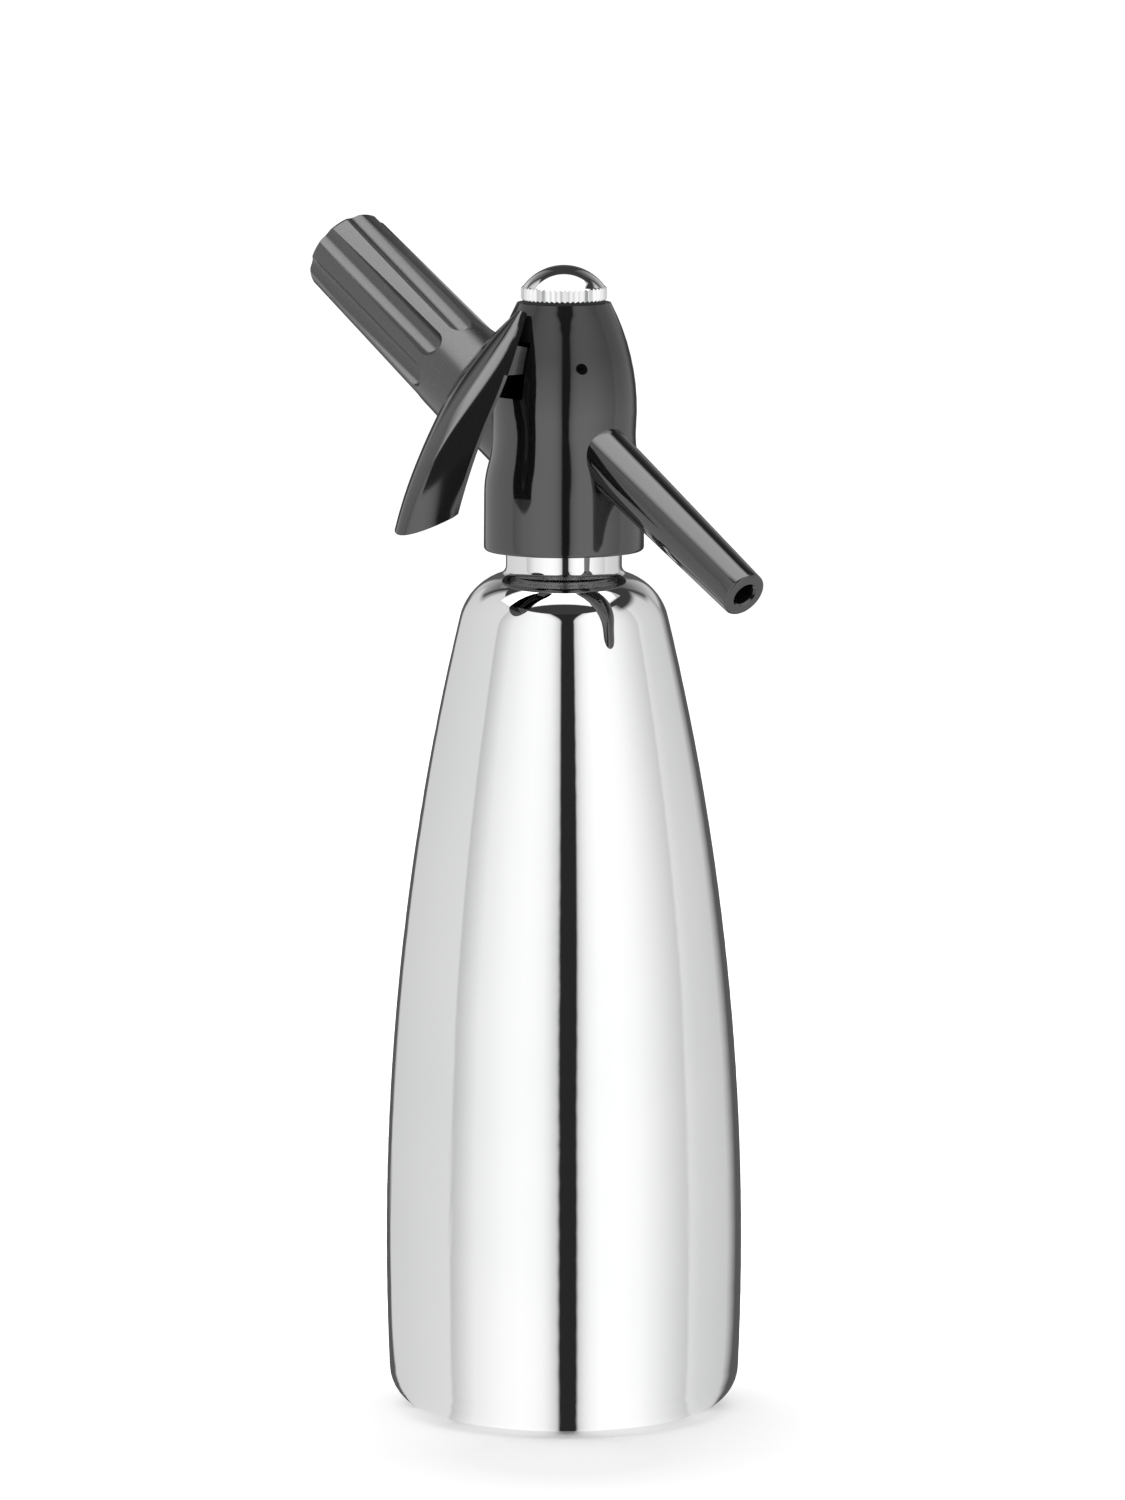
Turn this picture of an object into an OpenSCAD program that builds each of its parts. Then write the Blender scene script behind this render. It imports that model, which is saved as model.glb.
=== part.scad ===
// Soda siphon: a polished steel bottle with a screw-on dispensing head.
// The head carries a squeeze lever, a pouring spout, a gas charger holder and a knurled cap.
// Millimetres. The bottle stands on the XY plane, its axis is Z and the spout points along +X.

/* [Bottle] */
// Widest diameter of the bottle
bottle_d = 100; // [90:1:110]
// Height of the widest ring above the table
belly_z = 47; // [40:1:55]
// Radius of the long curve from belly to shoulder
side_r = 760; // [680:10:900]
// Radius between the wall and the base
foot_r = 12; // [8:0.5:16]
// Height of the centre of the shoulder curve
shoulder_z = 220; // [195:1:235]
// Radius of the shoulder curve
shoulder_r = 17; // [14:0.5:20]
// Outer diameter of the neck
neck_d = 32.4; // [30:0.2:35]
// Inner diameter of the neck
neck_bore_d = 26.4; // [24.8:0.2:28]
// Radius of the hollow between shoulder and neck
neck_fillet = 2.5; // [1.5:0.5:4]
// Length of the neck above that hollow
neck_len = 19.5; // [17:0.5:24]
// Wall thickness of the bottle
bottle_wall = 1.2; // [0.8:0.1:1.8]
// Width of the flat ring the bottle stands on
foot_band = 3.2; // [2:0.1:6]
// Height of the hollow under the base
punt_h = 5; // [2:0.5:8]

/* [Tubes] */
// Outer diameter of the riser tube
riser_d = 8; // [7:0.2:8.4]
// Inner diameter of the riser tube
riser_bore_d = 6; // [4:0.2:6.4]
// Gap between the bottle floor and the riser tube
riser_gap = 8; // [4:1:20]
// Outer diameter of the measuring tube
measure_d = 24; // [22.6:0.2:24.6]
// Length of the measuring tube below the neck rim
measure_len = 80; // [50:1:110]
// Wall thickness of the measuring tube
measure_wall = 1.5; // [1:0.1:2]

/* [Head] */
// Length of bare neck between the bottle and the head
neck_show = 4.2; // [2:0.1:6]
// Wall thickness of the threaded insert
insert_wall = 2.9; // [2.4:0.1:3.6]
// Wall thickness of the skirt around the insert
head_wall = 3.1; // [2.6:0.1:4]
// Diameter of the waist of the head
waist_d = 40.1; // [39:0.1:41.4]
// Extra radius of the head above the waist
bulge = 0.3; // [0.1:0.05:0.8]
// Radius of the two curves between skirt and waist
blend_r = 30; // [22:1:40]
// Radius of the tapering top curve
ogive_r = 64; // [58:1:74]
// Height of the head above the seat of the valve body
head_rise = 50; // [49:0.5:52]
// Edge radius of the skirt
rim_r = 1.1; // [0.6:0.1:2]

/* [Lever] */
// Direction of the lever around the axis
lever_az = -90; // [-95:1:-85]
// Width of the lever at its finger end
lever_w = 20; // [19:0.5:21]
// Width of the lever at its upper end
lever_top_w = 3.6; // [3.4:0.1:4.4]
// Height of the straight lip along the lever sides
lever_lip = 2.2; // [1.6:0.1:2.6]
// Wall thickness of the lever sides
lever_wall = 1.3; // [1.1:0.1:1.6]
// Wall thickness of the lever back
lever_back = 2; // [1.4:0.1:2.6]
// Reach of the finger end from the bottle axis
lever_reach = 59.7; // [58:0.1:61]
// Drop of the finger end below the pivot
lever_drop = 43.9; // [43:0.1:45]
// Diameter of the pivot pin
pin_d = 3; // [2.4:0.1:3.4]
// Distance of the pivot pin from the bottle axis
pin_s = 8.35; // [8.2:0.05:8.6]
// Width of the web between lever and pivot pin
web_w = 9; // [8.4:0.1:9.4]

/* [Spout] */
// Angle of the spout below level
spout_drop = 30.3; // [27:0.1:33]
// Distance from the bottle axis to the spout tip
spout_len = 87.3; // [75:0.1:100]
// Diameter of the spout inside the head
spout_root_d = 16.4; // [15.4:0.2:17]
// Diameter of the spout at its tip
spout_tip_d = 13.2; // [11:0.2:14]
// Diameter of the spout bore
spout_bore_d = 6.4; // [5:0.2:7]

/* [Charger] */
// Angle of the charger holder above level
holder_tilt = 31; // [29:0.5:33]
// Diameter of the boss on the head
boss_d = 24.8; // [24:0.2:26]
// Distance from the bottle axis to the end of the boss
boss_len = 36; // [35:0.5:40]
// Diameter of the holder at its open end
holder_root_d = 28.7; // [27:0.1:30]
// Diameter of the holder at its closed end
holder_tip_d = 26.1; // [24.8:0.1:27]
// Diameter of the gas charger
charger_d = 18.4; // [17.6:0.1:18.6]
// Length of the gas charger
charger_len = 65.5; // [62:0.5:68]
// Number of grip flutes
flutes = 8; // [6:1:10]
// Depth of the grip flutes
flute_depth = 1.3; // [0.8:0.1:1.5]
// Radius of the grip flutes
flute_r = 4; // [3:0.1:4.6]

/* [Cap] */
// Diameter of the knurled ring
cap_d = 24.1; // [23.4:0.1:25]
// Height of the knurled ring
cap_ring_h = 3.8; // [3:0.1:5]
// Diameter of the dome
dome_d = 22.8; // [20:0.1:23]
// Height of the dome above the ring
dome_h = 5.9; // [5:0.1:8]
// Number of knurl teeth
knurl_n = 50; // [40:1:60]
// Depth of the knurl
knurl_h = 0.5; // [0.3:0.05:0.7]

/* [Valve] */
// Diameter of the valve spindle
spindle_d = 3.8; // [3.2:0.1:4.4]
// Diameter of the valve seat opening
seat_d = 6; // [5.6:0.1:6.6]
// Wire diameter of the valve spring
wire_d = 0.9; // [0.7:0.05:1]
// Number of turns of the valve spring
spring_turns = 7; // [6:1:8]

/* [Hidden] */
$fn = 96;
far = 400;
// Fits
seat_gap = 0.02;
slip_gap = 0.05;
fork_gap = 0.3;
pocket_gap = 0.5;
thread_gap = 0.08;
// Bottle curves
neck_r = neck_d / 2;
side_cx = bottle_d / 2 - side_r;
foot_cx = side_cx + sqrt(pow(side_r - foot_r, 2) - pow(foot_r - belly_z, 2));
shoulder_cx = side_cx + sqrt(pow(side_r - shoulder_r, 2) - pow(shoulder_z - belly_z, 2));
fillet_cx = neck_r + neck_fillet;
fillet_z = shoulder_z + sqrt(pow(shoulder_r + neck_fillet, 2) - pow(fillet_cx - shoulder_cx, 2));
foot_a = atan2(foot_r - belly_z, foot_cx - side_cx);
shoulder_a = atan2(shoulder_z - belly_z, shoulder_cx - side_cx);
fillet_a = atan2(fillet_z - shoulder_z, fillet_cx - shoulder_cx);
neck_top = fillet_z + neck_len;
punt_edge = foot_cx - foot_band;
punt_r = (pow(punt_edge, 2) + pow(punt_h, 2)) / (2 * punt_h);
punt_in_r = punt_r + bottle_wall;
punt_in_a = acos(1 - punt_h / punt_in_r);
// Stack of seals on the neck rim
flange_t = 1.5;
gasket_h = 2.5;
body_z = neck_top + flange_t + gasket_h;
gasket_bore_r = 13.4;
// Head outline
insert_r = neck_r + thread_gap + insert_wall;
skirt_r = insert_r + head_wall;
rim_out_r = skirt_r + 0.1;
waist_r = waist_d / 2;
bulge_r = waist_r + bulge;
head_z = fillet_z + neck_show;
head_top = body_z + head_rise;
skirt_z = body_z - 3.3;
skirt_cx = skirt_r - blend_r;
waist_cx = waist_r + blend_r;
waist_z = skirt_z + sqrt(pow(2 * blend_r, 2) - pow(waist_cx - skirt_cx, 2));
bulge_cx = bulge_r - ogive_r;
bulge_z = waist_z + sqrt(pow(ogive_r + blend_r, 2) - pow(waist_cx - bulge_cx, 2));
low_tz = (skirt_z + waist_z) / 2;
high_f = blend_r / (ogive_r + blend_r);
high_tz = waist_z + (bulge_z - waist_z) * high_f;
cavity_r = waist_r - 4.05;
// Valve body
plate_r = insert_r - 0.7;
plate_h = 3.5;
column_r = 9;
chamber_r = 5.95;
seat_z = body_z + 10;
seat_h = 2;
seal_h = 2;
poppet_z = seat_z + seal_h;
poppet_h = 2;
poppet_r = 4.2;
outlet_r = poppet_r + 0.4;
outlet_top = seat_z + 9;
column_top = outlet_top + 4;
guide_h = 1.5;
guide_r = 5.5;
spindle_r = spindle_d / 2;
stem_seal_r = spindle_r + 1.7;
stem_seal_h = 1.8;
collar_z = column_top + guide_h + 7.5;
collar_h = 2;
coil_r = spindle_r + wire_d / 2 + 0.6;
collar_r = coil_r + wire_d / 2 + 0.6;
// Lever pivot and outline, measured outwards and upwards from the bottle axis
pin_z = collar_z + 1;
pin_r = pin_d / 2;
edge_top = [15.15, pin_z + 14.8];
edge_pull = [35.5, pin_z - 5.3];
edge_low = [lever_reach - 12.5, pin_z - lever_drop + 5.8];
crest_top = edge_top + [1.2, 0.8];
crest_pull = [51.7, pin_z - 17.3];
crest_low = [lever_reach, pin_z - lever_drop];
lever_across = 20;
lever_along = 28;
lever_turn = 50;
web_half = web_w / 2;
web_r = pin_r + 2.3;
web_low = pin_z - 1.6;
fork_tip = -2.5;
fork_root = spindle_r + 1.5;
fork_h = 3.2;
fork_z = collar_z - fork_gap - fork_h;
slot_half = web_half + pocket_gap;
slot_low = pin_z - 8.7;
slot_high = pin_z + 7;
pin_half = sqrt(pow(cavity_r, 2) - pow(pin_s, 2)) + 1.6;
// Spout
spout_z = body_z + 18.5;
spout_seat = 12.5;
spout_seal_h = 1.5;
spout_base = spout_seat + spout_seal_h;
spout_edge = 0.8;
spout_mouth = 0.6;
spigot_r = 6.2;
outlet_boss_r = spigot_r + 1.8;
outlet_bore_r = 2.6;
// Charger line
holder_z = body_z + 1.9;
holder_start = boss_len + 0.3;
socket_r = 9;
socket_base = 19;
stub_r = 11.2;
stub_end = boss_len + 12;
holder_floor = 2.6;
charger_r = charger_d / 2;
charger_tip = boss_len + 6.1;
charger_end = charger_tip + charger_len;
holder_bore_r = charger_r + 0.35;
holder_end = charger_end + 0.2 + holder_floor;
holder_edge = 1.5;
flute_turn = 166;
flute_len = 55;
charger_neck_r = 4.2;
charger_neck_len = 7.4;
pierce_r = 1.15;
pierce_disc_r = charger_neck_r + 0.3;
pierce_h = 2.5;
charger_seal_h = 2;
pierce_seat = charger_tip - pierce_h - charger_seal_h;
gas_seat = 12;
gas_spigot_r = 5.15;
gas_boss_r = gas_spigot_r + 2.35;
gas_x = gas_seat * cos(holder_tilt) + 0.4;
// Cap
cap_seal_h = 0.7;
cap_z = head_top + cap_seal_h;
cap_bore_r = 8.58;
shank_r = cap_bore_r - thread_gap;
shank_len = 8;
cap_hollow_r = 6.5;
cap_edge = 0.5;
ring_top = cap_z + cap_ring_h;
dome_r = dome_d / 2;
dome_round = (dome_r * dome_r + dome_h * dome_h) / (2 * dome_h);
// Riser line
nipple_r = 6.5;
nipple_z = body_z - 14;
riser_r = riser_d / 2;
riser_top = body_z - 8;
riser_z = punt_h + bottle_wall + riser_gap;
riser_seal_h = 3;
riser_seal_r = riser_r + 1.6;
// Spring
spring_z = collar_z + collar_h;
spring_h = ring_top - seat_gap - spring_z;
spring_rings = spring_turns * 8;
spring_rise = spring_h - wire_d;
spring_gap = spring_rise / spring_turns - wire_d;
echo(spring_gap = spring_gap);

// A ring with a square section
module ring(r_out, r_in, h) {
  difference() {
    cylinder(r = r_out, h = h);
    translate([0, 0, -1]) cylinder(r = r_in, h = h + 2);
  }
}

// Places children with Z along the spout, from the bottle axis outwards
module on_spout() {
  translate([0, 0, spout_z]) rotate([0, 90 + spout_drop, 0]) children();
}

// Places children with Z along the charger, from the bottle axis outwards
module on_charger() {
  translate([0, 0, holder_z]) rotate([0, holder_tilt - 90, 0]) children();
}

// Places side views of the lever upright, X outwards and Y up
module on_lever(half) {
  rotate([0, 0, lever_az]) translate([0, half, 0]) rotate([90, 0, 0]) linear_extrude(2 * half) children();
}

// Points of an arc in short straight steps, after its first point
function arc(cx, cz, r, from, to, steps) =
  [for (i = [1:steps]) let(a = from + (to - from) * i / steps) [cx + r * cos(a), cz + r * sin(a)]];

// Side of the bottle from the foot to the top of the shoulder, moved inwards by an inset
function bottle_side(inset) = concat(
  [[foot_cx, inset]],
  arc(foot_cx, foot_r, foot_r - inset, -90, foot_a, 10),
  arc(side_cx, belly_z, side_r - inset, foot_a, shoulder_a, 30),
  arc(shoulder_cx, shoulder_z, shoulder_r - inset, shoulder_a, fillet_a, 10));

module bottle() {
  lining = bottle_side(bottle_wall);
  last = len(lining) - 1;
  color([0.8, 0.81, 0.82])
  rotate_extrude() polygon(concat(
    [[0, punt_h]],
    arc(0, punt_h - punt_r, punt_r, 90, 90 - asin(punt_edge / punt_r), 6),
    bottle_side(0),
    arc(fillet_cx, fillet_z, neck_fillet, 180 + fillet_a, 180, 6),
    [[neck_r, neck_top], [neck_bore_d / 2, neck_top], [neck_bore_d / 2, lining[last][1]]],
    [for (i = [last:-1:0]) lining[i]],
    [[punt_in_r * sin(punt_in_a), bottle_wall]],
    arc(0, punt_h - punt_r, punt_in_r, 90 - punt_in_a, 90, 6)));
}

module measuring_tube() {
  color([0.9, 0.9, 0.88])
  translate([0, 0, neck_top]) difference() {
    union() {
      cylinder(r = neck_r - 0.4, h = flange_t);
      translate([0, 0, -measure_len]) cylinder(r = measure_d / 2, h = measure_len + flange_t);
    }
    translate([0, 0, -measure_len - 1]) cylinder(r = measure_d / 2 - measure_wall, h = measure_len + 10);
  }
}

module riser_tube() {
  color([0.92, 0.92, 0.9])
  translate([0, 0, riser_z]) ring(riser_r, riser_bore_d / 2, riser_top - riser_z);
}

module riser_seal() {
  color([0.15, 0.15, 0.16])
  translate([0, 0, nipple_z]) ring(riser_seal_r, riser_r + seat_gap, riser_seal_h);
}

module head_gasket() {
  color([0.15, 0.15, 0.16])
  translate([0, 0, neck_top + flange_t]) ring(neck_r - 0.1, gasket_bore_r, gasket_h);
}

// Half outline of the head, from the skirt rim to the cap seat, moved outwards by a gap
module head_outline(gap) {
  translate([gap, 0]) polygon(concat(
    [[0, head_z], [rim_out_r - rim_r, head_z]],
    arc(rim_out_r - rim_r, head_z + rim_r, rim_r, -90, 0, 4),
    [[skirt_r, skirt_z]],
    arc(skirt_cx, skirt_z, blend_r, 0, asin((low_tz - skirt_z) / blend_r), 5),
    arc(waist_cx, waist_z, blend_r, 180 + asin((waist_z - low_tz) / blend_r),
      180 - asin((high_tz - waist_z) / blend_r), 7),
    arc(bulge_cx, bulge_z, ogive_r, asin((high_tz - bulge_z) / ogive_r),
      asin((head_top - bulge_z) / ogive_r), 9),
    [[0, head_top]]));
}

// Half outline of the space inside the head
module head_space() {
  translate([0, head_z - 1]) square([insert_r + seat_gap, body_z - head_z + 1]);
  square([plate_r + slip_gap, body_z + plate_h]);
  square([cavity_r, pin_z - 1]);
  polygon([[0, pin_z - 2], [cavity_r, pin_z - 1], [cap_bore_r, pin_z + 8], [0, pin_z + 8]]);
  square([cap_bore_r, far]);
}

module head_housing() {
  color([0.06, 0.06, 0.065])
  difference() {
    union() {
      rotate_extrude() head_outline(0);
      on_charger() translate([0, 0, 8]) cylinder(r = boss_d / 2, h = boss_len - 8);
    }
    rotate_extrude() head_space();
    on_charger() translate([0, 0, 15]) cylinder(r = socket_r + slip_gap, h = far);
    on_spout() translate([0, 0, 12]) cylinder(r = spigot_r + slip_gap, h = far);
    // Slot for the web of the lever
    on_lever(slot_half) polygon([[4, slot_low], [far, slot_low], [far, slot_high], [13, slot_high],
      [4, slot_high - 1.5]]);
    on_lever(far) translate([pin_s, pin_z]) circle(pin_r + seat_gap);
  }
}

module neck_insert() {
  color([0.78, 0.79, 0.8])
  translate([0, 0, head_z + 1.2]) ring(insert_r, neck_r + thread_gap, body_z - head_z - 1.2);
}

module valve_body() {
  color([0.8, 0.68, 0.36])
  difference() {
    union() {
      translate([0, 0, body_z]) cylinder(r = plate_r, h = plate_h);
      translate([0, 0, body_z]) cylinder(r = column_r, h = column_top - body_z);
      intersection() {
        union() {
          on_spout() cylinder(r = outlet_boss_r, h = 22);
          on_charger() cylinder(r = gas_boss_r, h = socket_base - 0.1);
        }
        translate([0, 0, body_z]) cylinder(r = cavity_r - 0.2, h = column_top - body_z);
      }
    }
    translate([0, 0, body_z - 1]) cylinder(r = chamber_r, h = seat_z - seat_h - body_z + 1);
    translate([0, 0, body_z]) cylinder(r = seat_d / 2, h = seat_z - body_z + 1);
    translate([0, 0, seat_z]) cylinder(r = outlet_r, h = outlet_top - seat_z);
    translate([0, 0, outlet_top - 1]) cylinder(r = guide_r, h = 20);
    on_spout() cylinder(r = outlet_bore_r, h = far);
    on_spout() translate([0, 0, spout_seat]) cylinder(r = spigot_r + slip_gap, h = far);
    on_charger() translate([0, 0, gas_seat]) cylinder(r = gas_spigot_r + slip_gap, h = far);
    translate([-gas_x, 0, body_z - 1]) cylinder(r = 1, h = 9);
  }
}

module riser_nipple() {
  color([0.8, 0.68, 0.36])
  translate([0, 0, nipple_z]) difference() {
    union() {
      cylinder(r = nipple_r, h = body_z - nipple_z);
      cylinder(r = chamber_r - slip_gap, h = body_z - nipple_z + 3);
    }
    translate([0, 0, -1]) cylinder(r = riser_bore_d / 2, h = 20);
    translate([0, 0, -1]) cylinder(r = riser_r + slip_gap, h = riser_top - nipple_z + 1);
    translate([0, 0, -1]) cylinder(r = riser_seal_r + seat_gap, h = riser_seal_h + 1);
  }
}

module check_valve() {
  color([0.15, 0.15, 0.16])
  translate([-gas_x, 0, body_z - 1.2]) {
    cylinder(r = 2.4, h = 1.2);
    cylinder(r = 0.6, h = 4);
  }
}

module spindle_guide() {
  color([0.8, 0.68, 0.36])
  translate([0, 0, outlet_top]) difference() {
    union() {
      cylinder(r = guide_r - seat_gap, h = column_top - outlet_top);
      translate([0, 0, column_top - outlet_top]) cylinder(r = 6.6, h = guide_h);
    }
    translate([0, 0, -1]) cylinder(r = spindle_r + slip_gap, h = 20);
    translate([0, 0, -1]) cylinder(r = stem_seal_r + seat_gap, h = stem_seal_h + 1);
  }
}

module stem_seal() {
  color([0.15, 0.15, 0.16])
  translate([0, 0, outlet_top]) ring(stem_seal_r, spindle_r + slip_gap, stem_seal_h);
}

module valve_spindle() {
  color([0.82, 0.83, 0.84])
  union() {
    translate([0, 0, seat_z]) cylinder(r = spindle_r, h = collar_z + collar_h + 3 - seat_z);
    translate([0, 0, poppet_z]) cylinder(r = poppet_r, h = poppet_h);
    translate([0, 0, collar_z]) cylinder(r = collar_r, h = collar_h);
  }
}

module valve_seal() {
  color([0.15, 0.15, 0.16])
  translate([0, 0, seat_z]) ring(poppet_r, spindle_r + seat_gap, seal_h);
}

// One round section of the spring wire
function wire_ring(i) = let(a = i * 45, z = spring_z + wire_d / 2 + spring_rise * i / spring_rings)
  [for (k = [0:5]) let(r = coil_r + wire_d / 2 * cos(k * 60))
    [r * cos(a), r * sin(a), z + wire_d / 2 * sin(k * 60)]];

module valve_spring() {
  points = [for (i = [0:spring_rings]) each wire_ring(i)];
  sides = [for (i = [0:spring_rings - 1]) for (k = [0:5]) let(n = (k + 1) % 6)
    [6 * i + k, 6 * i + n, 6 * i + 6 + n, 6 * i + 6 + k]];
  last = 6 * spring_rings;
  halves = [for (f = sides) each [[f[0], f[1], f[2]], [f[0], f[2], f[3]]]];
  color([0.75, 0.76, 0.78])
  polyhedron(points, concat(halves, [[for (k = [5:-1:0]) k], [for (k = [0:5]) last + k]]));
}

// Points along a curve drawn towards its middle point
function pulled(a, b, c, v) = pow(1 - v, 2) * a + 2 * v * (1 - v) * b + v * v * c;

// Points along the lever's side edge and back, v from the top end to the finger end
function edge_pt(v) = pulled(edge_top, edge_pull, edge_low, v);
function crest_pt(v) = pulled(crest_top, crest_pull, crest_low, v);
function lever_half(v) = lever_top_w / 2 + (lever_w - lever_top_w) / 2 * sin(90 * min(1, 2 * v));

// One cross section of the lever as a row of points from one side edge over the back to the other
function lever_row(v, half, hollow) = let(c = crest_pt(v), e = edge_pt(v),
  lip = min(0.5, lever_lip / norm(c - e)))
  [for (j = [0:lever_across]) let(a = lever_turn * max(-1, min(1, 1 - 2 * (j - 1) / (lever_across - 2))),
    dome = (cos(a) - cos(lever_turn)) / (1 - cos(lever_turn)),
    rise = j % lever_across == 0 ? 0 : lip + (1 - lip) * dome,
    q = 1 - hollow * rise)
    [c[0] + q * (e[0] - c[0]), half * sin(a) / sin(lever_turn), c[1] + q * (e[1] - c[1])]];
function lever_hollow(v) = max(0, 1 - lever_back / norm(crest_pt(v) - edge_pt(v)))
  * min(1, v / 0.12, (1 - v) / 0.08);

module lever_shell() {
  n = lever_across + 1;
  skip = n * (lever_along + 1);
  outer = [for (i = [0:lever_along]) let(v = i / lever_along)
    each lever_row(v, lever_half(v), 1)];
  inner = [for (i = [0:lever_along]) let(v = i / lever_along)
    each lever_row(v, lever_half(v) - lever_wall, lever_hollow(v))];
  skin = [for (i = [0:lever_along - 1]) for (j = [0:lever_across - 1]) let(p = n * i + j)
    each [[p, p + n + 1, p + 1], [p, p + n, p + n + 1]]];
  lining = [for (f = skin) [f[0] + skip, f[2] + skip, f[1] + skip]];
  edges = [for (i = [0:lever_along - 1]) for (j = [0, lever_across]) let(p = n * i + j, q = p + skip)
    each (j == 0 ? [[p, q + n, p + n], [p, q, q + n]] : [[p, p + n, q + n], [p, q + n, q]])];
  fan = [for (j = [0:lever_across - 1]) let(q = j + skip)
    each (j < lever_across / 2 ? [[j, j + 1, q], [j + 1, q + 1, q]] : [[j, j + 1, q + 1], [j, q + 1, q]])];
  low = n * lever_along;
  ends = concat(fan, [for (f = fan) [f[0] + low, f[2] + low, f[1] + low]]);
  rotate([0, 0, lever_az]) polyhedron(concat(outer, inner), concat(skin, lining, edges, ends));
}

// Side view of the web between the lever and the pivot pin, with the fork under the spindle collar
module web_outline() {
  difference() {
    union() {
      translate([pin_s, pin_z]) circle(web_r);
      polygon([[pin_s, pin_z - web_r], [pin_s + 4, web_low], [31.6, web_low], [25.7, pin_z + 5],
        [21, pin_z + 6.4], [pin_s, pin_z + web_r]]);
      translate([fork_tip, fork_z]) square([pin_s - fork_tip, fork_h]);
    }
    translate([pin_s, pin_z]) circle(pin_r + slip_gap);
  }
}

module lever() {
  color([0.05, 0.05, 0.055])
  union() {
    lever_shell();
    difference() {
      on_lever(web_half) web_outline();
      on_lever(spindle_r + 0.35) translate([fork_root - far, 0]) square(far);
    }
  }
}

module lever_pin() {
  color([0.2, 0.2, 0.21])
  on_lever(pin_half) translate([pin_s, pin_z]) circle(pin_r);
}

module spout() {
  color([0.07, 0.07, 0.075])
  difference() {
    union() {
      difference() {
        on_spout() rotate_extrude() {
          polygon([[0, spout_base], [spout_root_d / 2, spout_base],
            [spout_tip_d / 2, spout_len - spout_edge], [spout_tip_d / 2 - spout_edge, spout_len],
            [0, spout_len]]);
          translate([spout_tip_d / 2 - spout_edge, spout_len - spout_edge]) circle(spout_edge);
        }
        rotate_extrude() head_outline(seat_gap);
        translate([0, 0, body_z]) cylinder(r = cavity_r, h = head_rise);
      }
      on_spout() translate([0, 0, spout_base]) cylinder(r = spigot_r, h = 20);
    }
    on_spout() cylinder(r = spout_bore_d / 2, h = far);
    on_spout() translate([0, 0, spout_len - spout_mouth])
      cylinder(r1 = spout_bore_d / 2, r2 = spout_bore_d / 2 + spout_mouth, h = spout_mouth);
  }
}

module spout_seal() {
  color([0.15, 0.15, 0.16])
  on_spout() translate([0, 0, spout_seat]) ring(spigot_r - 0.2, spout_bore_d / 2 + 0.4, spout_seal_h);
}

module charger_socket() {
  color([0.8, 0.68, 0.36])
  on_charger() difference() {
    union() {
      translate([0, 0, gas_seat + 0.3]) cylinder(r = gas_spigot_r, h = 10);
      translate([0, 0, socket_base]) cylinder(r = socket_r, h = boss_len - socket_base);
      translate([0, 0, boss_len]) cylinder(r = stub_r, h = stub_end - boss_len);
    }
    cylinder(r = 1.2, h = far);
    translate([0, 0, pierce_seat]) cylinder(r = pierce_disc_r + slip_gap, h = far);
  }
}

module piercing_pin() {
  color([0.82, 0.83, 0.84])
  on_charger() difference() {
    union() {
      translate([0, 0, pierce_seat]) cylinder(r = pierce_disc_r, h = pierce_h);
      translate([0, 0, pierce_seat]) cylinder(r = pierce_r, h = charger_tip + 1 - pierce_seat);
      translate([0, 0, charger_tip + 1]) cylinder(r1 = pierce_r, r2 = 0.6, h = 0.9);
    }
    cylinder(r = 0.5, h = far);
  }
}

module charger_seal() {
  color([0.15, 0.15, 0.16])
  on_charger() translate([0, 0, pierce_seat + pierce_h])
    ring(pierce_disc_r, pierce_r + seat_gap, charger_seal_h);
}

// Half outline of the gas charger along its axis, moved inwards by an inset
module charger_outline(inset) {
  low = charger_tip + charger_neck_len + charger_r;
  high = charger_end - charger_r;
  intersection() {
    union() {
      translate([0, low]) square([charger_r - inset, high - low]);
      translate([0, low]) circle(charger_r - inset);
      translate([0, high]) circle(charger_r - inset);
    }
    square([far, far]);
  }
  translate([0, charger_tip + inset]) square([charger_neck_r - inset, charger_neck_len + 2]);
}

module gas_charger() {
  color([0.72, 0.73, 0.75])
  on_charger() rotate_extrude() difference() {
    charger_outline(0);
    charger_outline(1);
    square([pierce_r + 0.35, charger_tip + 2]);
  }
}

module charger_holder() {
  taper = atan((holder_root_d - holder_tip_d) / 2 / (holder_end - holder_start));
  color([0.05, 0.05, 0.055])
  on_charger() difference() {
    rotate_extrude() {
      polygon([[0, holder_start], [holder_root_d / 2, holder_start],
        [holder_tip_d / 2, holder_end - holder_edge], [holder_tip_d / 2 - holder_edge, holder_end],
        [0, holder_end]]);
      translate([holder_tip_d / 2 - holder_edge, holder_end - holder_edge]) circle(holder_edge);
    }
    translate([0, 0, holder_start - 1]) cylinder(r = stub_r + thread_gap, h = stub_end - holder_start + 1.6);
    translate([0, 0, holder_start])
      cylinder(r = holder_bore_r, h = holder_end - holder_floor - holder_start);
    for (i = [0:flutes - 1]) rotate([0, 0, flute_turn + i * 360 / flutes])
      translate([holder_tip_d / 2 + flute_r - flute_depth, 0, holder_end])
      rotate([0, taper + 180, 0]) {
        translate([0, 0, -5]) cylinder(r = flute_r, h = flute_len + 5);
        translate([0, 0, flute_len]) sphere(flute_r);
      }
  }
}

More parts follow.
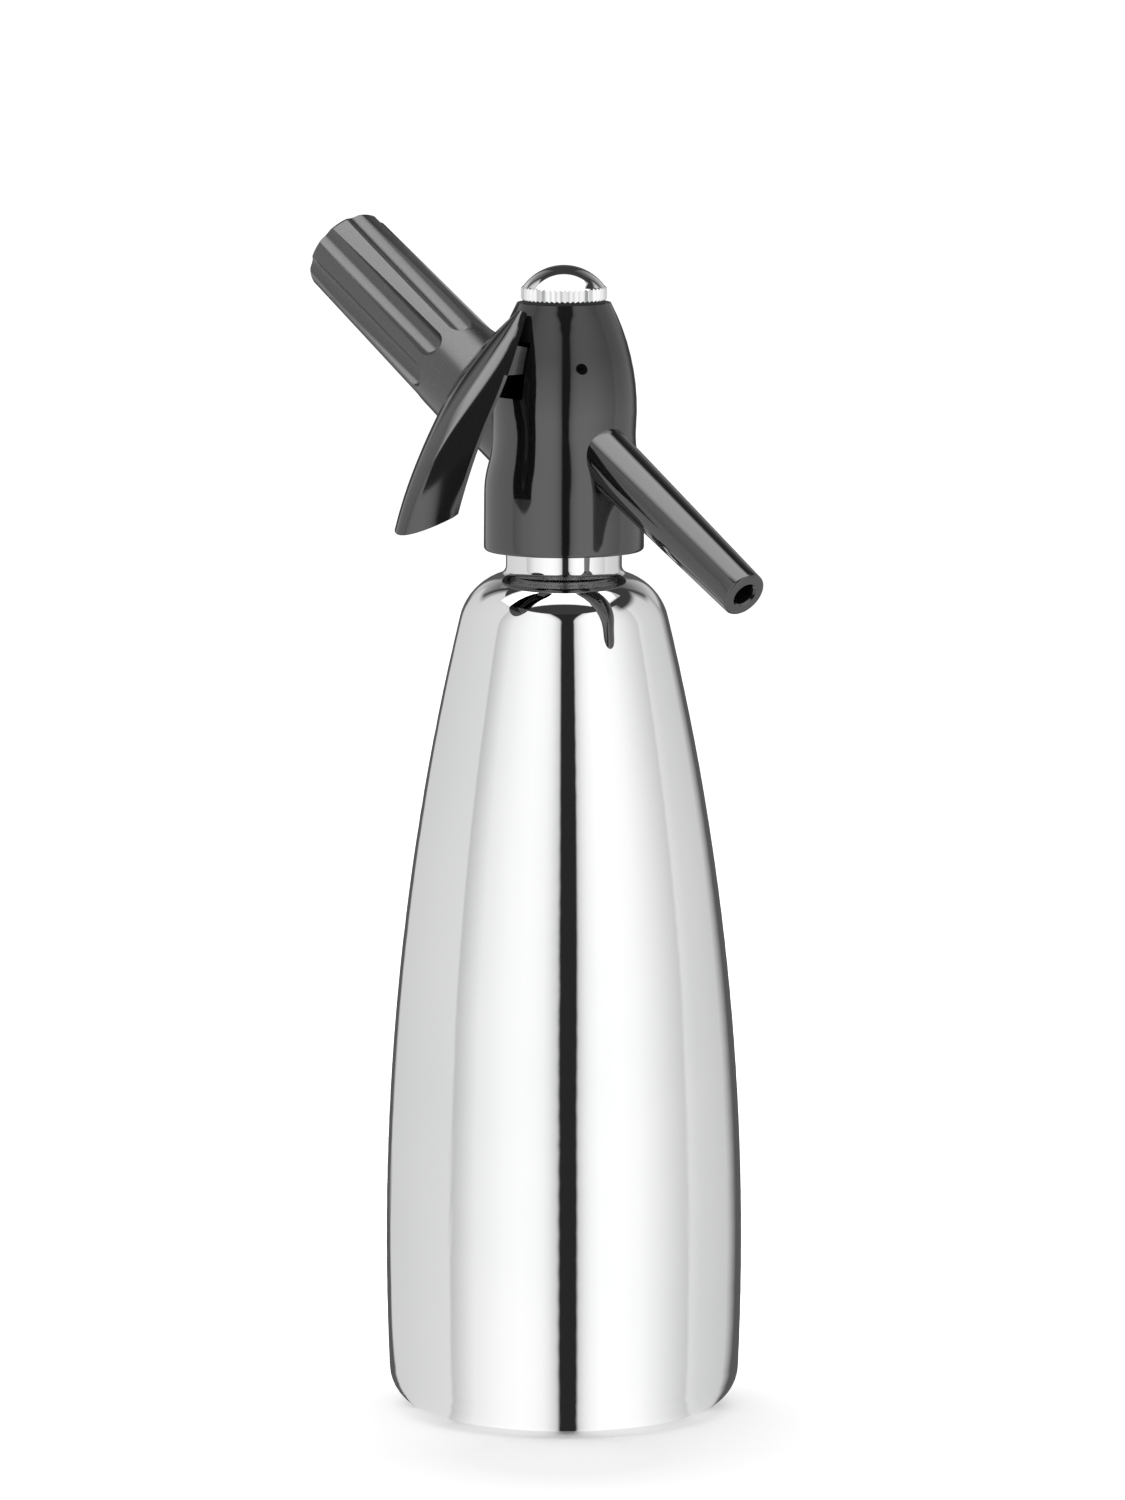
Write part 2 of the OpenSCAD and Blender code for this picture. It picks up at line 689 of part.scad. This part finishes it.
module valve_cap() {
  color([0.85, 0.86, 0.87])
  difference() {
    union() {
      translate([0, 0, cap_z]) intersection() {
        linear_extrude(cap_ring_h) polygon([for (i = [0:2 * knurl_n - 1])
          (cap_d / 2 - (i % 2) * knurl_h) * [cos(i * 180 / knurl_n), sin(i * 180 / knurl_n)]]);
        rotate_extrude() polygon([[0, 0], [cap_d / 2 - cap_edge, 0], [cap_d / 2, cap_edge],
          [cap_d / 2, cap_ring_h - cap_edge], [cap_d / 2 - cap_edge, cap_ring_h], [0, cap_ring_h]]);
      }
      intersection() {
        translate([0, 0, ring_top + dome_h - dome_round]) sphere(dome_round);
        translate([0, 0, ring_top - 1]) cylinder(r = dome_r, h = 2 * dome_h);
      }
      translate([0, 0, cap_z - shank_len]) cylinder(r = shank_r, h = shank_len + 1);
    }
    translate([0, 0, cap_z - shank_len - 1]) cylinder(r = cap_hollow_r, h = shank_len + cap_ring_h + 1);
  }
}

module cap_seal() {
  color([0.15, 0.15, 0.16])
  translate([0, 0, head_top]) ring(cap_d / 2 - 0.6, cap_bore_r + 0.3, cap_seal_h);
}

bottle();
measuring_tube();
riser_tube();
riser_seal();
head_gasket();
head_housing();
neck_insert();
valve_body();
riser_nipple();
check_valve();
spindle_guide();
stem_seal();
valve_spindle();
valve_seal();
valve_spring();
lever();
lever_pin();
spout();
spout_seal();
charger_socket();
piercing_pin();
charger_seal();
gas_charger();
charger_holder();
valve_cap();
cap_seal();
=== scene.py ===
import math

import bpy
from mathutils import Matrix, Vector

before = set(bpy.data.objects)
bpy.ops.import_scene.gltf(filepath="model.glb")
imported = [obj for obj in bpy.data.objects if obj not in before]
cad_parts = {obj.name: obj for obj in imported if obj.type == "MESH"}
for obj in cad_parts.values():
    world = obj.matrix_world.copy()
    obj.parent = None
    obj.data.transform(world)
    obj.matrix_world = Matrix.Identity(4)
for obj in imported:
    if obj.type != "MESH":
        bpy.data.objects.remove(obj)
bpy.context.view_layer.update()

# Camera: the photograph's place and lens
VIEW_AZ = math.radians(49)
CAMERA_AWAY = 2.65
CAMERA_UP = 0.539
CAMERA_LEFT = 0.0004
CAMERA_PITCH = math.radians(7.58)
CAMERA_LENS = 229.2
CAMERA_SENSOR = 36
CAMERA_REACH = 50

# Screw threads: point on the axis, axis, distances where the thread starts and ends, pitch, depth
UP = Vector((0, 0, 1))
NECK_THREAD = (Vector((0, 0, 0)), UP, 0.2437, 0.257, 0.004, 0.0009)
CAP_THREAD = (Vector((0, 0, 0)), UP, 0.3047, 0.3122, 0.0015, 0.0004)
STUB_THREAD = (Vector((0, 0, 0.26391)), Vector((-0.857167, 0, 0.515038)), 0.0372, 0.0474, 0.002, 0.0005)

# Shading: angles up to which faces look joined, and how close points lie that are one
SMOOTH_ANGLE = 32
LEVER_ANGLE = 19
WELD = 0.000002

# Lever: direction that its two moulded flanks face, given for the one on the spout side, the sideways parts
# of the normal between which it leans there and back, and how far it leans between two heights
LEVER_FLANK = (0.562, -0.647, 0.515)
FLANK_START = (0.22, 0.38)
FLANK_END = (0.84, 0.93)
FLANK_SHARES = (0.3, 0.8)
FLANK_HEIGHTS = (0.238, 0.277)

# Head: how far its reflections are dimmed towards its top as painted shade, and between which heights
PAINTED_SHADE_SHINE = 0.6
PAINTED_SHADE_HEIGHTS = (0.281, 0.298)

# Studio walls to the right and left of the camera: turns from it in degrees, and levels there
RIGHT_WALL = ((7.4, 0.02), (9.2, 0.66), (10.5, 0.74), (13, 0.88), (17, 1.0), (23, 1.09), (37, 1.11),
              (50, 1.05), (66, 0.88), (87, 0.64), (90, 0.78), (100, 0.71), (133, 0.63), (144, 0.3),
              (151, 0.1))
LEFT_WALL = ((2.4, 0.02), (4.2, 0.58), (5.4, 0.7), (7.5, 0.8), (10, 0.91), (14, 1.01), (20, 1.06),
             (27, 1.08), (40, 1.04), (60, 0.9), (75, 0.63), (78, 0.58), (80, 0.76), (107, 0.73),
             (154, 0.66), (158, 0.1))
ROOM_R = 1.9
ROOM_H = 2.3
ROOM_ROWS = 24

# Dark gap between the walls: level, reach in degrees, lean in degrees by height, and widening above a height
GAP_LEVEL = 0.022
GAP_REACH = 30
GAP_LEANS = ((0, 0), (0.6, 2.2), (1.3, 3.7))
GAP_WIDENS_Z = 1.4
GAP_WIDENS = 25
GAP_WIDENS_REACH = 90

# Upper parts of the walls that stay dark: turns and heights between which they begin
BACK_DARK_TURNS = (128, 140)
BACK_DARK_HEIGHTS = (1.0, 1.2)
RIGHT_DARK_TURNS = (75, 90)
RIGHT_DARK_HEIGHTS = (1.6, 1.9)

# Lit panels behind the bottle: heights and levels there, and the turns between which they begin and end
BACK_PANEL = ((0.42, 0), (0.52, 0.55), (0.7, 0.58), (1.0, 0.4), (1.5, 0.2), (2.1, 0.08))
BACK_START = (138, 146)
BACK_END = (164, 168)

# Ceiling: level, and radii with the height above the walls there
CEILING_LEVEL = 0.045
CEILING = ((ROOM_R - 0.02, 0.01), (1.0, 0.3), (0.01, 0.35))

# Softbox over the bottle: height, places across and towards the camera, strength, and level at its rim
TOP_Z = 1.7
TOP_ACROSS = (-1.55, -1.2, 0.8, 1.1)
TOP_FORE = (-0.6, -0.35, 0.4, 0.6)
TOP_STRENGTH = 2.6
TOP_RIM = 0.2

# Floor: height, rings, colour, and how it turns white with distance from a place in front of the foot, which
# leaves painted shade near that place on top of the floor's real shadow
FLOOR_Z = -0.0002
FLOOR_RINGS = [0.037 * 1.04 ** i for i in range(55)] + [0.5, 1, ROOM_R, 9]
FLOOR_COLOR = (0.86, 0.86, 0.86, 1)
PAINTED_SHADE_FORE = 0.07
WHITE_LIFTS = (0.11, 1.0)
WHITE_REACH = (0.025, 0.22)

# Foot of the bottle as a mirror of the floor: radius, least distance from it, radii on the floor with the
# foot's share of the bottle's width there, the turn from which its outline gets darker by a gain, and the
# steps in the search for a turn
FOOT_R = 0.047
FOOT_GAP = 0.001
FOOT_SHARES = ((0.041, 0.81), (0.045, 0.86), (0.05, 0.89), (0.055, 0.94), (0.06, 0.96), (0.085, 0.985),
               (0.2, 1))
OUTLINE_TURN = 66
OUTLINE_GAIN = 15
HALVINGS = 24

# Sky: how much light it gives
SKY_LIGHT = 0.1


def sight(turn):
    """Level direction at a turn to the right of the camera, seen from the bottle."""
    a = VIEW_AZ + turn
    return Vector((math.sin(a), -math.cos(a), 0))


class Shader:
    """A node tree with short calls for adding linked nodes."""

    def __init__(self, owner):
        owner.use_nodes = True
        self.owner = owner
        self.tree = owner.node_tree
        self.tree.nodes.clear()

    def add(self, kind, props=(), **inputs):
        """Adds a node, sets its properties, and sets or links the named inputs."""
        made = self.tree.nodes.new("ShaderNode" + kind)
        for key, value in dict(props).items():
            setattr(made, key, value)
        for key, value in inputs.items():
            socket = made.inputs[int(key[1:])] if key[0] == "_" else made.inputs[key.replace("_", " ")]
            if isinstance(value, bpy.types.NodeSocket):
                self.tree.links.new(value, socket)
            else:
                socket.default_value = value
        return made

    def spot(self):
        """The surface point in the object's own metres."""
        return self.add("TexCoord").outputs["Object"]

    def height(self):
        return self.add("SeparateXYZ", Vector=self.spot()).outputs[2]

    def level(self):
        """The light level that a stage mesh holds on its points."""
        return self.add("Attribute", {"attribute_name": "level"}).outputs["Fac"]

    def noise(self, scale, detail=3.0, stretch=(1, 1, 1)):
        where = self.add("Mapping", Vector=self.spot(), Scale=stretch).outputs[0]
        return self.add("TexNoise", Vector=where, Scale=scale, Detail=detail).outputs["Fac"]

    def span(self, value, low, high, start=0.0, end=1.0):
        """Maps a value between two ends of one range to another range."""
        return self.add("MapRange", _0=value, _1=start, _2=end, _3=low, _4=high).outputs[0]

    def math(self, work, a, b=0.0):
        return self.add("Math", {"operation": work}, _0=a, _1=b).outputs[0]

    def mix(self, share, a, b):
        return self.add("Mix", {"data_type": "RGBA"}, Factor=share, _6=(*a, 1), _7=(*b, 1)).outputs[2]

    def bump(self, height, depth, strength=1.0, **under):
        return self.add("Bump", Height=height, Distance=depth, Strength=strength, **under).outputs["Normal"]

    def along(self, foot, axis):
        """How far the surface point lies from a foot point along an axis."""
        away = self.add("VectorMath", {"operation": "SUBTRACT"}, _0=self.spot(), _1=foot).outputs[0]
        return self.add("VectorMath", {"operation": "DOT_PRODUCT"}, _0=away, _1=axis).outputs["Value"]

    def thread(self, foot, axis, low, high, pitch, depth, **under):
        """Normal of a screw thread around an axis, between two distances from its foot."""
        side = Vector((0, 1, 0))
        x, y, z = (self.along(foot, d) for d in (side, axis.cross(side), axis))
        turn = self.math("DIVIDE", self.math("ARCTAN2", y, x), 2 * math.pi)
        wave = self.math("PINGPONG", self.math("SUBTRACT", self.math("DIVIDE", z, pitch), turn), 0.5)
        inside = self.math("MULTIPLY", self.math("GREATER_THAN", z, low), self.math("LESS_THAN", z, high))
        return self.bump(self.math("MULTIPLY", self.math("MULTIPLY", wave, 2.0), inside), depth, **under)

    def flattened(self, flank):
        """Normal that leans towards a flank and its mirror image where the surface turns sideways."""
        normal = self.add("TexCoord").outputs["Normal"]
        x = self.add("SeparateXYZ", Vector=normal).outputs[0]
        out = self.math("ABSOLUTE", x)
        share = self.math("MULTIPLY", self.span(out, 0, 1, *FLANK_START), self.span(out, 1, 0, *FLANK_END))
        share = self.math("MULTIPLY", share, self.span(self.height(), *FLANK_SHARES, *FLANK_HEIGHTS))
        side = self.math("MULTIPLY", self.math("SIGN", x), flank[0])
        facing = self.add("CombineXYZ", X=side, Y=flank[1], Z=flank[2]).outputs[0]
        mixed = self.add("Mix", {"data_type": "VECTOR"}, _0=share, _4=normal, _5=facing).outputs[1]
        ways = {"vector_type": "NORMAL", "convert_from": "OBJECT", "convert_to": "WORLD"}
        turned = self.add("VectorTransform", ways, Vector=mixed).outputs[0]
        return self.add("VectorMath", {"operation": "NORMALIZE"}, _0=turned).outputs[0]

    def mirrored(self, rays):
        """1 on rays that a mirror or a clear surface sends on."""
        return self.math("MAXIMUM", rays["Is Glossy Ray"], rays["Is Transmission Ray"])

    def end(self, surface, kind="Material"):
        self.tree.links.new(surface, self.add("Output" + kind).inputs["Surface"])
        return self.owner

    def body(self, **inputs):
        """Ends the tree in one Principled surface."""
        return self.end(self.add("BsdfPrincipled", **inputs).outputs[0])


def material(name):
    return Shader(bpy.data.materials.new(name))


def polished_steel():
    s = material("polished_steel")
    cloud = s.noise(14, 4)
    streak = s.noise(260, 2, (1, 1, 0.02))
    tint = s.mix(s.span(cloud, 0, 1, 0.3, 0.7), (0.88, 0.885, 0.89), (0.93, 0.93, 0.93))
    rough = s.math("ADD", s.span(streak, 0.01, 0.03), s.span(cloud, 0, 0.015))
    normal = s.thread(*NECK_THREAD, Normal=s.bump(streak, 0.000002, 0.3))
    return s.body(Base_Color=tint, Metallic=1.0, Roughness=rough, Normal=normal)


def cap_chrome():
    s = material("cap_chrome")
    cloud = s.noise(60)
    tint = s.mix(cloud, (0.84, 0.845, 0.85), (0.9, 0.9, 0.9))
    normal = s.thread(*CAP_THREAD, Normal=s.bump(s.noise(900, 2), 0.000002, 0.3))
    return s.body(Base_Color=tint, Metallic=1.0, Roughness=s.span(cloud, 0.02, 0.06), Normal=normal)


def gloss_black(name, flank=None):
    """Glossy moulded plastic: with a flank its sides are flattened, and without one its reflections are
    dimmed towards the head's top as painted shade.
    """
    s = material(name)
    cloud = s.noise(40, 4)
    wave = s.math("ADD", s.noise(1500, 2), s.noise(110))
    under = {"Normal": s.flattened(flank)} if flank else {}
    # Less shine towards the head's top: painted shade on its reflections, not a duller plastic.
    shine = 1.0 if flank else s.span(s.height(), 1.0, PAINTED_SHADE_SHINE, *PAINTED_SHADE_HEIGHTS)
    return s.body(Base_Color=s.mix(cloud, (0.007, 0.007, 0.0075), (0.012, 0.012, 0.0125)),
                  Roughness=s.span(cloud, 0.06, 0.1), IOR=1.6, Specular_IOR_Level=shine,
                  Normal=s.bump(wave, 0.000006, 0.3, **under))


def satin_black():
    s = material("satin_black")
    cloud = s.noise(50, 4)
    speck = s.span(s.noise(1800, 1), 0, 1, 0.68, 0.74)
    base = s.mix(cloud, (0.026, 0.026, 0.027), (0.036, 0.036, 0.037))
    tint = s.add("Mix", {"data_type": "RGBA"}, Factor=speck, _6=base, _7=(0.08, 0.08, 0.08, 1)).outputs[2]
    return s.body(Base_Color=tint, Roughness=s.span(cloud, 0.2, 0.26), IOR=1.58, Specular_IOR_Level=1.0,
                  Normal=s.bump(s.noise(2600), 0.00003, 0.5))


def pale_plastic():
    s = material("pale_plastic")
    cloud = s.noise(70)
    return s.body(Base_Color=s.mix(cloud, (0.78, 0.78, 0.74), (0.86, 0.86, 0.83)),
                  Roughness=s.span(cloud, 0.3, 0.42), Normal=s.bump(s.noise(1200, 2), 0.00001, 0.4))


def seal_rubber():
    s = material("seal_rubber")
    cloud = s.noise(300)
    return s.body(Base_Color=s.mix(cloud, (0.02, 0.02, 0.021), (0.045, 0.045, 0.047)),
                  Roughness=s.span(cloud, 0.55, 0.75), Normal=s.bump(s.noise(2500, 2), 0.00003, 0.5))


def turned_metal(name, dark, light, thread=None):
    """Metal with fine marks of the lathe, and a screw thread where one is given."""
    s = material(name)
    turned = s.noise(900, 2, (0.05, 0.05, 1))
    normal = s.bump(turned, 0.000003, 0.3)
    if thread:
        normal = s.thread(*thread, Normal=normal)
    return s.body(Base_Color=s.mix(s.noise(85), dark, light), Metallic=1.0,
                  Roughness=s.span(turned, 0.17, 0.31), Normal=normal)


FINISHES = {
    "polished_steel": polished_steel(),
    "cap_chrome": cap_chrome(),
    "gloss_black": gloss_black("gloss_black"),
    "lever_black": gloss_black("lever_black", LEVER_FLANK),
    "satin_black": satin_black(),
    "pale_plastic": pale_plastic(),
    "seal_rubber": seal_rubber(),
    "brass": turned_metal("brass", (0.7, 0.52, 0.24), (0.83, 0.66, 0.36), STUB_THREAD),
    "plain_steel": turned_metal("plain_steel", (0.16, 0.16, 0.165), (0.24, 0.24, 0.245)),
    "dark_steel": turned_metal("dark_steel", (0.04, 0.04, 0.042), (0.07, 0.07, 0.072)),
}


def smooth_group(angle):
    """Modifier tree that joins the CAD faces and shades them smoothly up to an angle."""
    tree = bpy.data.node_groups.new("smooth_joined_faces", "GeometryNodeTree")
    for way in ("INPUT", "OUTPUT"):
        tree.interface.new_socket("Geometry", in_out=way, socket_type="NodeSocketGeometry")
    start, drop, weld, faces, edges, end, bend, flat = (tree.nodes.new(kind) for kind in (
        "NodeGroupInput", "GeometryNodeRemoveAttribute", "GeometryNodeMergeByDistance",
        "GeometryNodeSetShadeSmooth", "GeometryNodeSetShadeSmooth", "NodeGroupOutput",
        "GeometryNodeInputMeshEdgeAngle", "FunctionNodeCompare"))
    drop.inputs["Name"].default_value = "custom_normal"
    weld.inputs["Distance"].default_value = WELD
    edges.domain = "EDGE"
    flat.operation = "LESS_THAN"
    flat.inputs[1].default_value = math.radians(angle)
    link = tree.links.new
    link(bend.outputs["Unsigned Angle"], flat.inputs[0])
    link(flat.outputs[0], edges.inputs["Shade Smooth"])
    chain = (start, drop, weld, faces, edges, end)
    for a, b in zip(chain, chain[1:]):
        link(a.outputs[0], b.inputs[0])
    return tree


smooth = smooth_group(SMOOTH_ANGLE)
creased = smooth_group(LEVER_ANGLE)
for name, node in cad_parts.items():
    slot = node.data.materials[0].name.split(".")[0]
    node.data.materials[0] = FINISHES["lever_black" if name == "lever" else slot]
    node.modifiers.new("smooth_joined_faces", "NODES").node_group = creased if name == "lever" else smooth


def ramp(value, start, end):
    """0 up to the start, 1 from the end on, and in between a straight rise."""
    return min(1, max(0, (value - start) / (end - start)))


def between(stops, place):
    """Value at a place on the broken line through the stops."""
    for (a, low), (b, high) in zip(stops, stops[1:]):
        if place <= b:
            return low + (high - low) * max(0, place - a) / (b - a)
    return stops[-1][1]


def mirrored_turn(turn, r):
    """Turn on the walls whose level the floor takes, so that mirrored bands run straight down to the foot."""
    low, high, away = 0, 90, max(FOOT_GAP, r - FOOT_R)
    for _ in range(HALVINGS):
        wall = (low + high) / 2
        a = math.radians(wall)
        met = wall + math.degrees(math.atan2(away * math.sin(a), FOOT_R + away * math.cos(a)))
        low, high = (wall, high) if met < turn else (low, wall)
    share = between(FOOT_SHARES, r)
    straight = 2 * math.degrees(math.asin(share * math.sin(math.radians(low))))
    return straight + OUTLINE_GAIN * (1 - share) * max(0, low - OUTLINE_TURN)


def level_at(turn, z, r):
    """Level of the studio at a turn from the camera; the dark gap leans, and widens high on the walls."""
    across = abs(turn)
    edge = across if z > 0 else mirrored_turn(across, r)
    if z > GAP_WIDENS_Z:
        edge -= GAP_WIDENS * (z - GAP_WIDENS_Z) ** 2 * max(0, 1 - across / GAP_WIDENS_REACH)
    if turn > 0:
        edge -= between(GAP_LEANS, z)
    level = between(RIGHT_WALL if turn > 0 else LEFT_WALL, edge)
    dark_back = ramp(across, *BACK_DARK_TURNS) * ramp(z, *BACK_DARK_HEIGHTS)
    dark_right = ramp(turn, *RIGHT_DARK_TURNS) * ramp(z, *RIGHT_DARK_HEIGHTS)
    panel = ramp(across, *BACK_START) * (1 - ramp(across, *BACK_END)) * between(BACK_PANEL, z)
    least = GAP_LEVEL if across < GAP_REACH else CEILING_LEVEL
    return max(least, level * (1 - max(dark_back, dark_right)), panel)


def stage_sheet(name, rows, look, levels):
    """A stage mesh through rows of points, with a light level on each point."""
    mesh = bpy.data.meshes.new(name)
    n = len(rows[0])
    faces = [(i * n + j, i * n + j + 1, i * n + n + j + 1, i * n + n + j)
             for i in range(len(rows) - 1) for j in range(n - 1)]
    mesh.from_pydata([p for row in rows for p in row], [], faces)
    mesh.materials.append(look)
    mesh.attributes.new("level", "FLOAT", "POINT").data.foreach_set("value", levels)
    thing = bpy.data.objects.new(name, mesh)
    bpy.context.scene.collection.objects.link(thing)
    return thing


def round_sheet(name, profile, look):
    """A stage mesh turned around the bottle; profile holds radius, height and share of the wall's level."""
    turns = [i / 2 for i in range(-360, 361)]
    rows = [[sight(math.radians(t)) * r + UP * z for t in turns] for r, z, _ in profile]
    levels = [share * level_at(t, z, r) + (1 - share) * CEILING_LEVEL
              for r, z, share in profile for t in turns]
    return stage_sheet(name, rows, look, levels)


def glow(strength):
    s = material("softbox")
    power = s.math("MULTIPLY", s.level(), strength)
    return s.end(s.add("Emission", Strength=power).outputs[0])


def pale_floor():
    """Pale floor that turns white with distance, save for painted shade in front of the foot, and gives
    mirrors the level of the wall behind it.
    """
    s = material("pale_floor")
    rays = s.add("LightPath").outputs
    painted_shade_centre = sight(0) * PAINTED_SHADE_FORE
    away = s.add("VectorMath", {"operation": "DISTANCE"}, _0=s.spot(), _1=painted_shade_centre).outputs["Value"]
    # Camera rays get less white lift near a place in front of the foot: painted shade there, over the real
    # shadow.
    lift = s.math("MULTIPLY", rays["Is Camera Ray"], s.span(away, *WHITE_LIFTS, *WHITE_REACH))
    lit = s.add("AddShader", _0=s.add("BsdfDiffuse", Color=FLOOR_COLOR).outputs[0],
                _1=s.add("Emission", Strength=lift).outputs[0]).outputs[0]
    seen = s.add("Emission", Strength=s.level()).outputs[0]
    return s.end(s.add("MixShader", _0=s.mirrored(rays), _1=lit, _2=seen).outputs[0])


floor = round_sheet("floor", [(r, FLOOR_Z, 1) for r in FLOOR_RINGS], pale_floor())
floor.data.materials[0].cycles.emission_sampling = "NONE"

walls = [(ROOM_R, i * ROOM_H / ROOM_ROWS, 1) for i in range(ROOM_ROWS + 1)]
ceiling = [(r, ROOM_H + rise, 0) for r, rise in CEILING]
room = round_sheet("room", walls + ceiling, glow(1))

side, fore = sight(math.radians(90)), sight(0)
top = stage_sheet("softbox_top", [[side * x + fore * y + UP * TOP_Z for y in TOP_FORE] for x in TOP_ACROSS],
                  glow(TOP_STRENGTH),
                  [1 if 0 < i < 3 and 0 < j < 3 else TOP_RIM for i in range(4) for j in range(4)])
for sheet in (room, top):
    sheet.visible_camera = False

world = bpy.data.worlds.new("studio")
bpy.context.scene.world = world
sky = Shader(world)
rays = sky.add("LightPath").outputs
shown = sky.math("MAXIMUM", rays["Is Camera Ray"], sky.mirrored(rays))
white = sky.add("Background", Color=(1, 1, 1, 1), Strength=sky.span(shown, SKY_LIGHT, 1.0)).outputs[0]
sky.end(white, "World")

lens = bpy.data.cameras.new("camera")
lens.sensor_fit = "VERTICAL"
lens.sensor_height = CAMERA_SENSOR
lens.lens = CAMERA_LENS
lens.clip_end = CAMERA_REACH
camera = bpy.data.objects.new("camera", lens)
bpy.context.scene.collection.objects.link(camera)
camera.location = fore * CAMERA_AWAY - side * CAMERA_LEFT + UP * CAMERA_UP
camera.rotation_euler = (math.radians(90) - CAMERA_PITCH, 0, VIEW_AZ)
bpy.context.scene.camera = camera
bpy.context.scene.view_settings.view_transform = "Standard"
